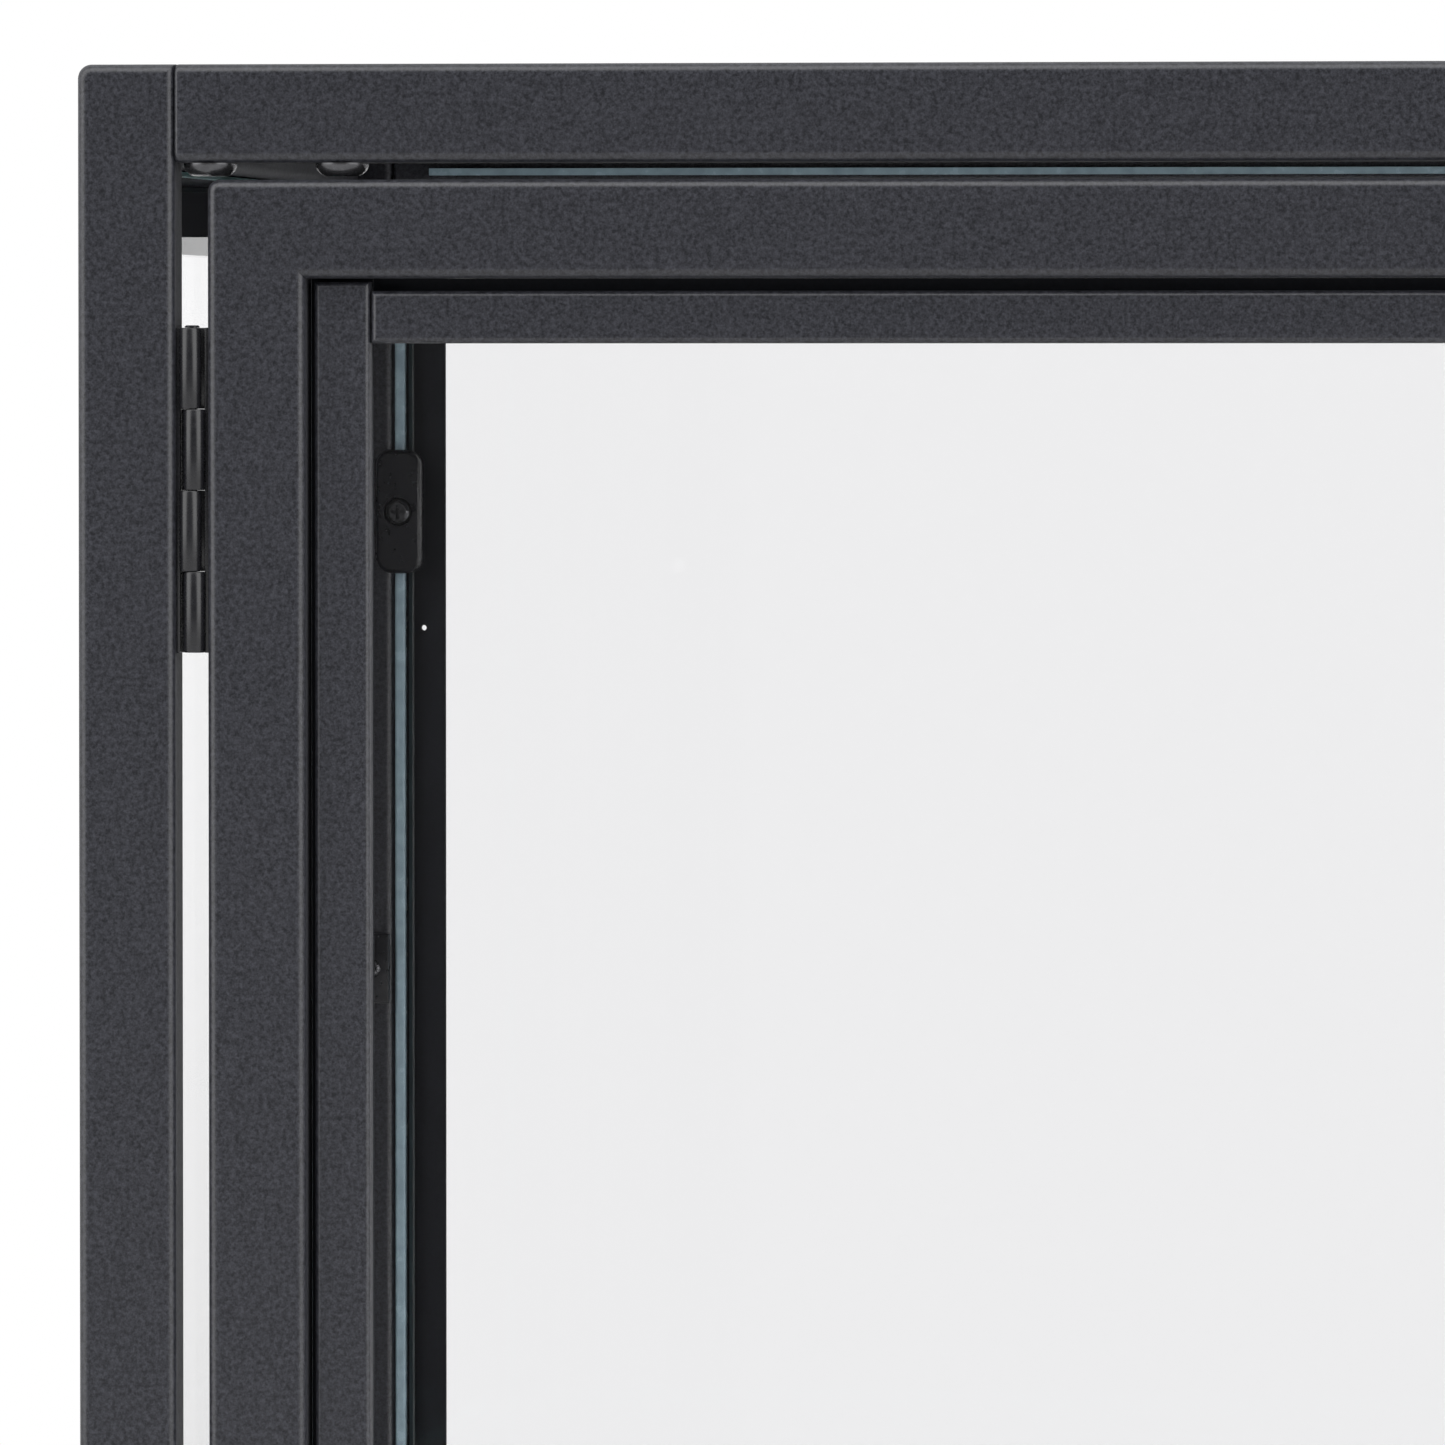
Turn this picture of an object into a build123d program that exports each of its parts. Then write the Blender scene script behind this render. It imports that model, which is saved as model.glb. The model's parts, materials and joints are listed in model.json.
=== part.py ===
"""Glass-door display cabinet: a bolted frame of 25 x 15 mm steel tube with glass
sides, back and shelves, and two glazed doors on butt hinges.

Frame of the model: X to the right, Y to the back, Z up, in millimetres. The origin is
on the floor, at the middle of the whole cabinet with its knobs.
"""

import math
import os

from build123d import *

# ---- driving dimensions ----
WIDTH = 1000.0
DEPTH = 420.0
HEIGHT = 1000.0
TUBE = 25.0  # the broad side of the rectangular tube
THIN = 15.0  # its narrow side
WALL = 1.5
TUBE_R = 2.5  # its rounded edges
END_R = 1.0  # the rounded rims of the rails' open ends
DOOR_R = 3.0  # the doors' rounded corners
FOOT_H = 15.0
KNOB_OUT = 22.0
GLASS_T = 4.0
SHELF_T = 6.0
SIDE_GAP = 8.3  # between a post and its door, for the hinges
END_GAP = 4.3  # above and below the doors
MIDDLE_GAP = 3.0  # between the doors

# ---- places worked out from them ----
HALF = WIDTH / 2
FRONT = (KNOB_OUT - DEPTH) / 2
BACK = FRONT + DEPTH
INNER_FRONT = FRONT + THIN
INNER_BACK = BACK - THIN
RAIL_TOP = FOOT_H + TUBE  # top face of the bottom rails
RAIL_LOW = HEIGHT - TUBE  # bottom face of the top rails
POST_IN = HALF - TUBE  # |x| of a post's inner face
SIDE_RAIL_IN = HALF - THIN
DOOR_OUT = POST_IN - SIDE_GAP
DOOR_IN = MIDDLE_GAP / 2
DOOR_LOW = RAIL_TOP + END_GAP
DOOR_HIGH = RAIL_LOW - END_GAP
DOOR_MID = (DOOR_LOW + DOOR_HIGH) / 2
SIDES = {"left": -1, "right": 1}

# ---- smaller features ----
POST_CROWN = 3.5  # rounding of a post's outer top corner
CAP_T = 2.0
BASE_T = 3.0
SHEET = 1.2
TRAY_LIP = 12.0
TRAY_DROP = 0.6  # the trays' tops below the rails' tops
FLAT_T = 2.0  # the flat bars that the panes lie on
REAR_FLAT = 14.5
SIDE_FLAT = 22.0
BAR_GAP = 0.3  # between bars that end on each other
PANE_GAP = 0.5
PANE_ARRIS = 1.2  # ground edges of the panes
REAR_PANE_IN = 4.3  # from a rear post to the back pane, for the clips' screws
SEAL_GAP = 0.3
SEAL_W = 3.2
TOP_SEAL = (HALF - 35.7, RAIL_LOW + 3.1, RAIL_LOW + 5.1)  # half length, low, high
TOP_SEAL_T = 2.0
REAR_PANE = INNER_BACK  # front face of the back pane
SIDE_PANE_OUT = HALF - 7.0  # |x| of a side pane's outer face
VENT_R = 0.8
VENT_X = HALF - 33.3
VENT_Z = 848.0

HINGE_X = HALF - TUBE - SIDE_GAP / 2
HINGE_Y = FRONT + 3.0
HINGE_R = 2.8
HINGE_LEN = 82.6
HINGE_TOP = 933.2
KNUCKLE_SHIFT = 0.5  # the rolled knuckles stand off the pin's axis, each to its own leaf
LEAF_T = 1.0
KNUCKLES = 4
KNUCKLE_GAP = 0.2
WEB_REACH = 2.85  # how far a knuckle's web passes the pin's axis, towards the other leaf
PIN_R = 1.25
PIN_HOLE_R = 1.3
PIN_HEAD_R = 1.9
PIN_HEAD_H = 0.6
HINGE_LOWS = [HINGE_TOP - HINGE_LEN, 2 * DOOR_MID - HINGE_TOP]

BEAD_OFF = 1.9  # from the stile to its bead
BEAD_W = 14.3
CROSS_OFF = 3.2  # from the door's rail to its bead
CROSS_W = 13.3
BEAD_END = 0.9
BEAD_FRONT = FRONT + 4.0
BEAD_LEG = 5.0
BEAD_R = 1.5  # the beads' rounded front edges
BEAD_FOOT = 5.0
DOOR_PANE = FRONT + 9.0
DOOR_FLAT = FRONT + 13.0
DOOR_FLAT_W = 15.7
PANE_COVER = 6.7  # how far the door's pane reaches under its beads
SCREW_R = 1.45
SCREW_HOLE_R = 1.5
SCREW_HEAD_R = 2.7
SCREW_HEAD_H = 1.2
KNOB_SCREW_R = 2.05
KNOB_HOLE_R = 2.1
KNOB_TAP = 10.0

CLIP_SCREW_R = 1.4
CLIP_HOLE_R = 1.45
REAR_CLIP = (13.2, 5.0, 35.6)
REAR_CLIP_R = 3.5
CLIP_TAPER = 15.0
REAR_CLIP_X = HALF - 27.1
REAR_CLIP_Z = 881.5
REAR_CLIP_ZS = [REAR_CLIP_Z, DOOR_MID, 2 * DOOR_MID - REAR_CLIP_Z]
REAR_SCREW_HEAD_R = 4.6
REAR_SCREW_HEAD_H = 2.2
SIDE_CLIP_ZS = [750.0, 250.0]
SIDE_CLIP_H = 20.0
SIDE_CLIP_T = 3.0
SIDE_CLIP_ARM = 12.0
SIDE_SCREW_X = HALF - 19.0

TONGUE_LEN = 62.0  # the posts' tongues, which the front rails slide over
TONGUE_GAP = 0.2
BOLT_R = 1.95
BOLT_HOLE_R = 2.0
BOLT_DEEP = 12.0
BOLT_RUNS = [8.2, 42.0]  # from the post
BOLT_HEAD_R = 7.0
BOLT_HEAD_H = 3.2
BOLT_HEAD_TAPER = 35.0

SHELF_ZS = {"lower": 315.0, "upper": 590.0}  # undersides of the shelves
TAB_W = 10.0
TAB_DEEP = 14.0
TAB_H = 12.0
PAD_T = 1.5
PAD_R = 4.0

FOOT_R = 7.4
STEM_R = 3.95
STEM_HOLE_R = 4.0
STEM_TOP = 48.0
PAD_H = 6.0

WALL_HOLE_R = 2.5
WALL_HOLE_X = 450.0
WALL_HOLE_Z = RAIL_LOW + 9.6

os.makedirs("parts", exist_ok=True)


def save(builder, name):
    builder.part.label = name
    export_step(builder.part, f"parts/{name}.step")


def block(x0, x1, y0, y1, z0, z1, mode=Mode.ADD):
    """A box between two corners, in the part being built."""
    middle = ((x0 + x1) / 2, (y0 + y1) / 2, (z0 + z1) / 2)
    with Locations(middle):
        Box(abs(x1 - x0), abs(y1 - y0), abs(z1 - z0), mode=mode)


def upright(x, y, z0, z1, radius, mode=Mode.ADD):
    """A round bar along Z."""
    with Locations((x, y, (z0 + z1) / 2)):
        Cylinder(radius, z1 - z0, mode=mode)


def through(x, z, y0, y1, radius, mode=Mode.ADD):
    """A round bar along Y, from y0 back to y1."""
    with Locations((x, (y0 + y1) / 2, z)):
        Cylinder(radius, y1 - y0, rotation=(90, 0, 0), mode=mode)


def pan_head(x, z, y_face, out, radius, height):
    """A domed screw head on the face at y_face; out is 1 to the back, -1 to the front."""
    plane = Plane(origin=(x, y_face, z), x_dir=(1, 0, 0), z_dir=(0, out, 0))
    with BuildSketch(plane) as disc:
        Circle(radius)
    extrude(disc.sketch, amount=height, taper=20)


# ---- frame: posts ----
def make_post(name, side, back):
    y0 = INNER_BACK if back else FRONT
    middle_x = side * (HALF - TUBE / 2)
    crown_x = side * (HALF - POST_CROWN)
    front_plane = Plane(origin=(0, y0, 0), x_dir=(1, 0, 0), z_dir=(0, -1, 0))
    with BuildPart() as post:
        with BuildSketch(front_plane):
            with BuildLine():
                Polyline(
                    (crown_x, HEIGHT),
                    (side * POST_IN, HEIGHT),
                    (side * POST_IN, FOOT_H),
                    (side * HALF, FOOT_H),
                    (side * HALF, HEIGHT - POST_CROWN),
                )
                RadiusArc(
                    (side * HALF, HEIGHT - POST_CROWN),
                    (crown_x, HEIGHT),
                    -side * POST_CROWN,
                )
            make_face()
        extrude(amount=-THIN)
        outlines = post.faces().filter_by(Axis.Y).edges()
        fillet(outlines, TUBE_R)
        block(
            middle_x - TUBE / 2 + WALL,
            middle_x + TUBE / 2 - WALL,
            y0 + WALL,
            y0 + THIN - WALL,
            FOOT_H + BASE_T,
            HEIGHT - POST_CROWN - CAP_T,
            mode=Mode.SUBTRACT,
        )
        upright(
            middle_x,
            y0 + THIN / 2,
            FOOT_H,
            FOOT_H + BASE_T,
            STEM_HOLE_R,
            mode=Mode.SUBTRACT,
        )
        wall_y = y0 if back else y0 + THIN - WALL
        for z in SIDE_CLIP_ZS:
            through(side * SIDE_SCREW_X, z, wall_y, wall_y + WALL, CLIP_HOLE_R, mode=Mode.SUBTRACT)
    save(post, name)


for side_name, side in SIDES.items():
    make_post(f"front_{side_name}_post", side, back=False)
    make_post(f"rear_{side_name}_post", side, back=True)


# ---- frame: rails ----
BOLT_XS = [side * (POST_IN - run) for side in SIDES.values() for run in BOLT_RUNS]


def round_rims(rail, axis):
    """Rounds the outer rims of a tube's two open ends; axis is the way it runs."""
    for end in (rail.faces().sort_by(axis)[0], rail.faces().sort_by(axis)[-1]):
        fillet(end.outer_wire().edges(), END_R)


def make_long_rail(name, y0, z0, bolt_wall=None, wall_holes=False):
    """A rail between the posts, along X, with TUBE as its height."""
    plane = Plane(origin=(-POST_IN, y0 + THIN / 2, z0 + TUBE / 2), x_dir=(0, 1, 0), z_dir=(1, 0, 0))
    with BuildPart() as rail:
        with BuildSketch(plane):
            RectangleRounded(THIN, TUBE, TUBE_R)
            Rectangle(THIN - 2 * WALL, TUBE - 2 * WALL, mode=Mode.SUBTRACT)
        extrude(amount=2 * POST_IN)
        round_rims(rail, Axis.X)
        if bolt_wall is not None:
            for x in BOLT_XS:
                upright(x, y0 + THIN / 2, bolt_wall, bolt_wall + WALL, BOLT_HOLE_R, mode=Mode.SUBTRACT)
        if wall_holes:
            for side in SIDES.values():
                through(side * WALL_HOLE_X, WALL_HOLE_Z, y0, y0 + THIN, WALL_HOLE_R, mode=Mode.SUBTRACT)
    save(rail, name)


def make_side_rail(name, side, z0):
    """A rail from a front post to a rear post, flush with their outer faces."""
    plane = Plane(
        origin=(side * (HALF - THIN / 2), INNER_FRONT, z0 + TUBE / 2),
        x_dir=(1, 0, 0),
        z_dir=(0, 1, 0),
    )
    with BuildPart() as rail:
        with BuildSketch(plane):
            RectangleRounded(THIN, TUBE, TUBE_R)
            Rectangle(THIN - 2 * WALL, TUBE - 2 * WALL, mode=Mode.SUBTRACT)
        extrude(amount=INNER_BACK - INNER_FRONT)
        round_rims(rail, Axis.Y)
    save(rail, name)


make_long_rail("front_top_rail", FRONT, RAIL_LOW, bolt_wall=RAIL_LOW)
make_long_rail("front_bottom_rail", FRONT, FOOT_H, bolt_wall=RAIL_TOP - WALL)
make_long_rail("rear_top_rail", INNER_BACK, RAIL_LOW, wall_holes=True)
make_long_rail("rear_bottom_rail", INNER_BACK, FOOT_H)
for side_name, side in SIDES.items():
    make_side_rail(f"{side_name}_top_rail", side, RAIL_LOW)
    make_side_rail(f"{side_name}_bottom_rail", side, FOOT_H)


# ---- top and bottom: folded sheet trays between the rails ----
def make_tray(name, z_top):
    with BuildPart() as tray:
        block(-SIDE_RAIL_IN, SIDE_RAIL_IN, INNER_FRONT, INNER_BACK, z_top - TRAY_LIP, z_top)
        block(
            -SIDE_RAIL_IN + SHEET,
            SIDE_RAIL_IN - SHEET,
            INNER_FRONT + SHEET,
            INNER_BACK - SHEET,
            z_top - TRAY_LIP,
            z_top - SHEET,
            mode=Mode.SUBTRACT,
        )
    save(tray, name)


make_tray("top_panel", HEIGHT - TRAY_DROP)
make_tray("bottom_panel", RAIL_TOP - TRAY_DROP)


# ---- tongues on the front posts, inside the front rails, and their dome-head bolts ----
def make_tongues():
    inset = WALL + TONGUE_GAP
    with BuildPart() as tongues:
        for z0, bolt_z in ((RAIL_LOW, RAIL_LOW + inset), (FOOT_H, RAIL_TOP - inset - BOLT_DEEP)):
            for side in SIDES.values():
                block(
                    side * POST_IN,
                    side * (POST_IN - TONGUE_LEN),
                    FRONT + inset,
                    INNER_FRONT - inset,
                    z0 + inset,
                    z0 + TUBE - inset,
                )
            for x in BOLT_XS:
                upright(x, FRONT + THIN / 2, bolt_z, bolt_z + BOLT_DEEP, BOLT_HOLE_R, mode=Mode.SUBTRACT)
    save(tongues, "rail_tongues")


def make_rail_bolts():
    """Dome heads on the rails' faces towards the doors, with shanks into the tongues."""
    with BuildPart() as bolts:
        for x in BOLT_XS:
            for face, out in ((RAIL_LOW, -1), (RAIL_TOP, 1)):
                low, high = sorted((face, face - out * BOLT_DEEP))
                upright(x, FRONT + THIN / 2, low, high, BOLT_R)
                seat = Plane(origin=(x, FRONT + THIN / 2, face), z_dir=(0, 0, out))
                with BuildSketch(seat):
                    Circle(BOLT_HEAD_R)
                extrude(amount=BOLT_HEAD_H, taper=BOLT_HEAD_TAPER)
    save(bolts, "rail_bolts")


make_tongues()
make_rail_bolts()


# ---- panes: flat bars, glass, clips and screws ----
def make_rear_bars():
    """The four flat bars that the back pane lies on."""
    y0 = REAR_PANE + GLASS_T
    inner = POST_IN - REAR_FLAT
    with BuildPart() as bars:
        for side in SIDES.values():
            block(side * inner, side * POST_IN, y0, y0 + FLAT_T, RAIL_TOP, RAIL_LOW)
            through(side * VENT_X, VENT_Z, y0, y0 + FLAT_T, VENT_R, mode=Mode.SUBTRACT)
            for z in REAR_CLIP_ZS:
                through(side * REAR_CLIP_X, z, y0, y0 + FLAT_T, CLIP_HOLE_R, mode=Mode.SUBTRACT)
        for z0, z1 in ((RAIL_TOP, RAIL_TOP + REAR_FLAT), (RAIL_LOW - REAR_FLAT, RAIL_LOW)):
            block(-inner + BAR_GAP, inner - BAR_GAP, y0, y0 + FLAT_T, z0, z1)
    save(bars, "rear_pane_bars")


def make_side_bars(name, side):
    """The four flat bars that a side pane lies on."""
    x0 = side * SIDE_PANE_OUT
    x1 = side * (SIDE_PANE_OUT + FLAT_T)
    low, high = RAIL_TOP + SIDE_FLAT, RAIL_LOW - SIDE_FLAT
    with BuildPart() as bars:
        block(x0, x1, INNER_FRONT, INNER_BACK, RAIL_TOP, low)
        block(x0, x1, INNER_FRONT, INNER_BACK, high, RAIL_LOW)
        block(x0, x1, INNER_FRONT, INNER_FRONT + SIDE_FLAT, low + BAR_GAP, high - BAR_GAP)
        block(x0, x1, INNER_BACK - SIDE_FLAT, INNER_BACK, low + BAR_GAP, high - BAR_GAP)
    save(bars, name)


def make_pane(name, corners):
    with BuildPart() as pane:
        block(*corners)
        chamfer(pane.edges(), PANE_ARRIS)
    save(pane, name)


make_rear_bars()
make_pane(
    "rear_glass",
    (
        -POST_IN + REAR_PANE_IN,
        POST_IN - REAR_PANE_IN,
        REAR_PANE,
        REAR_PANE + GLASS_T,
        RAIL_TOP + PANE_GAP,
        RAIL_LOW - PANE_GAP,
    ),
)
for side_name, side in SIDES.items():
    make_side_bars(f"{side_name}_pane_bars", side)
    make_pane(
        f"{side_name}_glass",
        (
            side * SIDE_PANE_OUT,
            side * (SIDE_PANE_OUT - GLASS_T),
            INNER_FRONT + PANE_GAP,
            INNER_BACK - PANE_GAP,
            RAIL_TOP + PANE_GAP,
            RAIL_LOW - PANE_GAP,
        ),
    )


def make_rear_seal():
    """Clear strips beside the back pane, from clip to clip, and one along the rail above it."""
    half_clip = REAR_CLIP[2] / 2
    stops = [RAIL_LOW - 1.0]
    for z in REAR_CLIP_ZS:
        stops += [z + half_clip, z - half_clip]
    stops.append(RAIL_TOP + 1.0)
    outer = POST_IN - SEAL_GAP
    with BuildPart() as seal:
        for side in SIDES.values():
            for z1, z0 in zip(stops[::2], stops[1::2]):
                block(
                    side * outer,
                    side * (outer - SEAL_W),
                    REAR_PANE + SEAL_GAP,
                    REAR_PANE + GLASS_T,
                    z0,
                    z1,
                )
        fillet(seal.edges().filter_by(Axis.Z).group_by(Axis.Y)[0], 1.0)
        half_long, z0, z1 = TOP_SEAL
        block(-half_long, half_long, INNER_BACK - TOP_SEAL_T, INNER_BACK, z0, z1)
    save(seal, "rear_pane_seal")


def side_clip_feet():
    """(side, face of the post, direction into the cabinet, height) of every side pane clip."""
    return [
        (side, face, inward, z)
        for side in SIDES.values()
        for face, inward in ((INNER_FRONT, 1), (INNER_BACK, -1))
        for z in SIDE_CLIP_ZS
    ]


def make_pane_clips():
    wide, deep, tall = REAR_CLIP
    arm_x = SIDE_PANE_OUT - GLASS_T
    foot_x = POST_IN + 1.0
    half = SIDE_CLIP_H / 2
    with BuildPart() as clips:
        for side in SIDES.values():
            for z in REAR_CLIP_ZS:
                plane = Plane(
                    origin=(side * REAR_CLIP_X, REAR_PANE, z), x_dir=(1, 0, 0), z_dir=(0, -1, 0)
                )
                with BuildSketch(plane):
                    RectangleRounded(wide, tall, REAR_CLIP_R)
                extrude(amount=deep, taper=CLIP_TAPER)
        for side, face, inward, z in side_clip_feet():
            block(side * arm_x, side * foot_x, face, face + inward * SIDE_CLIP_T, z - half, z + half)
            block(
                side * arm_x,
                side * (arm_x - SIDE_CLIP_T),
                face,
                face + inward * SIDE_CLIP_ARM,
                z - half,
                z + half,
            )
        for side in SIDES.values():
            for z in REAR_CLIP_ZS:
                x = side * REAR_CLIP_X
                through(x, z, REAR_PANE - deep, REAR_PANE, CLIP_HOLE_R, mode=Mode.SUBTRACT)
        for side, face, inward, z in side_clip_feet():
            y0, y1 = sorted((face, face + inward * SIDE_CLIP_T))
            through(side * SIDE_SCREW_X, z, y0, y1, CLIP_HOLE_R, mode=Mode.SUBTRACT)
    save(clips, "pane_clips")


def make_clip_screws():
    deep = REAR_CLIP[1]
    with BuildPart() as screws:
        for side in SIDES.values():
            for z in REAR_CLIP_ZS:
                x = side * REAR_CLIP_X
                through(x, z, REAR_PANE - deep, REAR_PANE + GLASS_T + FLAT_T, CLIP_SCREW_R)
                pan_head(x, z, REAR_PANE - deep, -1, REAR_SCREW_HEAD_R, REAR_SCREW_HEAD_H)
        for side, face, inward, z in side_clip_feet():
            y0, y1 = sorted((face - inward * WALL, face + inward * SIDE_CLIP_T))
            through(side * SIDE_SCREW_X, z, y0, y1, CLIP_SCREW_R)
            head_y = face + inward * SIDE_CLIP_T
            pan_head(side * SIDE_SCREW_X, z, head_y, inward, SCREW_HEAD_R, SCREW_HEAD_H)
    save(screws, "clip_screws")


make_rear_seal()
make_pane_clips()
make_clip_screws()


# ---- shelves on welded tabs with soft pads ----
def tab_places():
    """(side, face of the post, direction into the cabinet, top of the tab)."""
    return [
        (side, face, inward, z - PAD_T)
        for side in SIDES.values()
        for face, inward in ((INNER_FRONT, 1), (INNER_BACK, -1))
        for z in SHELF_ZS.values()
    ]


def make_shelf_tabs():
    x0 = POST_IN + 1.0
    with BuildPart() as tabs:
        for side, face, inward, top in tab_places():
            inner, outer = side * x0, side * (x0 + TAB_W)
            block(inner, outer, face, face + inward * TAB_DEEP, top - FLAT_T, top)
            block(inner, outer, face, face + inward * FLAT_T, top - TAB_H, top)
    save(tabs, "shelf_tabs")


def make_shelf_pads():
    with BuildPart() as pads:
        for side, face, inward, top in tab_places():
            x = side * (POST_IN + 1.0 + TAB_W / 2)
            upright(x, face + inward * 8.0, top, top + PAD_T, PAD_R)
    save(pads, "shelf_pads")


make_shelf_tabs()
make_shelf_pads()
for level, z in SHELF_ZS.items():
    with BuildPart() as shelf:
        block(-HALF + 16, HALF - 16, INNER_FRONT + 2, INNER_BACK - 2, z, z + SHELF_T)
        chamfer(shelf.edges(), 0.5)
    save(shelf, f"{level}_shelf")


# ---- levelling feet, screwed into the posts ----
for side_name, side in SIDES.items():
    for end_name, foot_y in (("front", FRONT + THIN / 2), ("rear", BACK - THIN / 2)):
        foot_x = side * (HALF - TUBE / 2)
        with BuildPart() as foot:
            upright(foot_x, foot_y, 0, PAD_H, FOOT_R)
            fillet(foot.edges(), 1.0)
            with BuildSketch(Plane.XY.offset(PAD_H)):
                with Locations((foot_x, foot_y)):
                    RegularPolygon(6.5, 6)
            extrude(amount=5.0)
            upright(foot_x, foot_y, PAD_H, STEM_TOP, STEM_R)
        save(foot, f"{end_name}_{side_name}_foot")


# ---- hinges ----
def knuckle_spans(low, first):
    """(z0, z1) of every second knuckle from the top, the first one being 0 or 1."""
    pitch = HINGE_LEN / KNUCKLES
    top = low + HINGE_LEN
    return [
        (top - (n + 1) * pitch + KNUCKLE_GAP / 2, top - n * pitch - KNUCKLE_GAP / 2)
        for n in range(first, KNUCKLES, 2)
    ]


def make_leaves(name, side, first, plate_x):
    """Two hinge leaves; plate_x is |x| of the face that they are fixed to."""
    axis_x = side * HINGE_X
    inward = 1 if plate_x < HINGE_X else -1
    with BuildPart() as leaves:
        for low in HINGE_LOWS:
            block(
                side * plate_x,
                side * (plate_x + inward * LEAF_T),
                HINGE_Y,
                INNER_FRONT,
                low,
                low + HINGE_LEN,
            )
            for z0, z1 in knuckle_spans(low, first):
                upright(axis_x - side * inward * KNUCKLE_SHIFT, HINGE_Y, z0, z1, HINGE_R)
                block(
                    side * plate_x,
                    side * (HINGE_X + inward * WEB_REACH),
                    HINGE_Y + HINGE_R - LEAF_T,
                    HINGE_Y + HINGE_R,
                    z0,
                    z1,
                )
        for low in HINGE_LOWS:
            upright(axis_x, HINGE_Y, low, low + HINGE_LEN, PIN_HOLE_R, mode=Mode.SUBTRACT)
    save(leaves, name)


def make_hinge_pins():
    with BuildPart() as pins:
        for side in SIDES.values():
            for low in HINGE_LOWS:
                high = low + HINGE_LEN
                upright(side * HINGE_X, HINGE_Y, low, high, PIN_R)
                upright(side * HINGE_X, HINGE_Y, high, high + PIN_HEAD_H, PIN_HEAD_R)
    save(pins, "hinge_pins")


for side_name, side in SIDES.items():
    make_leaves(f"{side_name}_frame_hinge_leaves", side, 0, POST_IN)
    make_leaves(f"{side_name}_door_hinge_leaves", side, 1, DOOR_OUT)
make_hinge_pins()

# ---- magnet catch, under the front top rail behind the meeting stiles ----
CATCH_HALF = 24.0
CATCH_LOW = DOOR_HIGH - 18.0
STRIKE_T = 1.0
MAGNET_FACE = INNER_FRONT + STRIKE_T + 0.2
with BuildPart() as catch:
    block(-CATCH_HALF, CATCH_HALF, INNER_FRONT, INNER_FRONT + 14, RAIL_LOW + 1, HEIGHT - TRAY_LIP - 2)
    block(-CATCH_HALF, CATCH_HALF, MAGNET_FACE + 1, INNER_FRONT + 14, CATCH_LOW, RAIL_LOW + 1)
save(catch, "catch_body")
with BuildPart() as magnets:
    for side in SIDES.values():
        block(side * 5, side * 20, MAGNET_FACE, MAGNET_FACE + 1, CATCH_LOW + 3, CATCH_LOW + 15)
save(magnets, "catch_magnets")


# ---- doors ----
def mitred_tube(corner, along, length):
    """A tube on the door's outline from corner, mitred at both ends.

    Its first axis runs along the outline, its second towards the door's middle and
    its third to the back. The outline's corners are round, so each tube has half of
    the arc at each end.
    """
    split = DOOR_R * (1 - math.sqrt(0.5))
    lift = DOOR_R * (1 - math.cos(math.radians(22.5)))
    run = DOOR_R * (1 - math.sin(math.radians(22.5)))
    with BuildSketch(Plane(origin=corner, x_dir=along, z_dir=(0, 1, 0))) as outline:
        with BuildLine():
            ThreePointArc((split, split), (run, lift), (DOOR_R, 0))
            Line((DOOR_R, 0), (length - DOOR_R, 0))
            ThreePointArc((length - DOOR_R, 0), (length - run, lift), (length - split, split))
            Polyline(
                (length - split, split),
                (length - TUBE, TUBE),
                (TUBE, TUBE),
                (split, split),
            )
        make_face()
    extrude(outline.sketch, amount=THIN)


def long_edges(tube, axis):
    """The edges of the tube's front and back faces, without those on its mitres."""
    rims = tube.faces().filter_by(Axis.Y).edges()
    arcs = rims.filter_by(GeomType.CIRCLE)
    return arcs + rims.filter_by(axis)


def hollow(corner, along, length):
    """Cuts the inside out of such a tube."""
    inside = Plane(origin=corner, x_dir=along, z_dir=(0, 1, 0)).offset(WALL)
    far = TUBE - WALL
    with BuildSketch(inside) as cavity:
        with BuildLine():
            Polyline((WALL, WALL), (length - WALL, WALL), (length - far, far), (far, far), close=True)
        make_face()
    extrude(cavity.sketch, amount=THIN - 2 * WALL, mode=Mode.SUBTRACT)


def make_door_tube(name, corner, along, length, holes=()):
    axis = Axis.Z if along[2] else Axis.X
    with BuildPart() as tube:
        mitred_tube(corner, along, length)
        fillet(long_edges(tube, axis), TUBE_R)
        hollow(corner, along, length)
        for x, z in holes:
            through(x, z, FRONT, INNER_FRONT, KNOB_HOLE_R, mode=Mode.SUBTRACT)
    save(tube, name)


def bead_screw_places(x_left, x_right):
    """(x, z) of the screws behind the glazing beads of a door between x_left and x_right."""
    inset = TUBE + BEAD_OFF + 2.5
    tall = DOOR_HIGH - DOOR_LOW
    across = x_right - x_left
    cross = TUBE + CROSS_OFF + 2.5
    places = []
    for share in (0.12, 0.5, 0.88):
        places.append((x_left + inset, DOOR_LOW + share * tall))
        places.append((x_right - inset, DOOR_LOW + share * tall))
    for share in (0.3, 0.7):
        places.append((x_left + share * across, DOOR_LOW + cross))
        places.append((x_left + share * across, DOOR_HIGH - cross))
    return places


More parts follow.
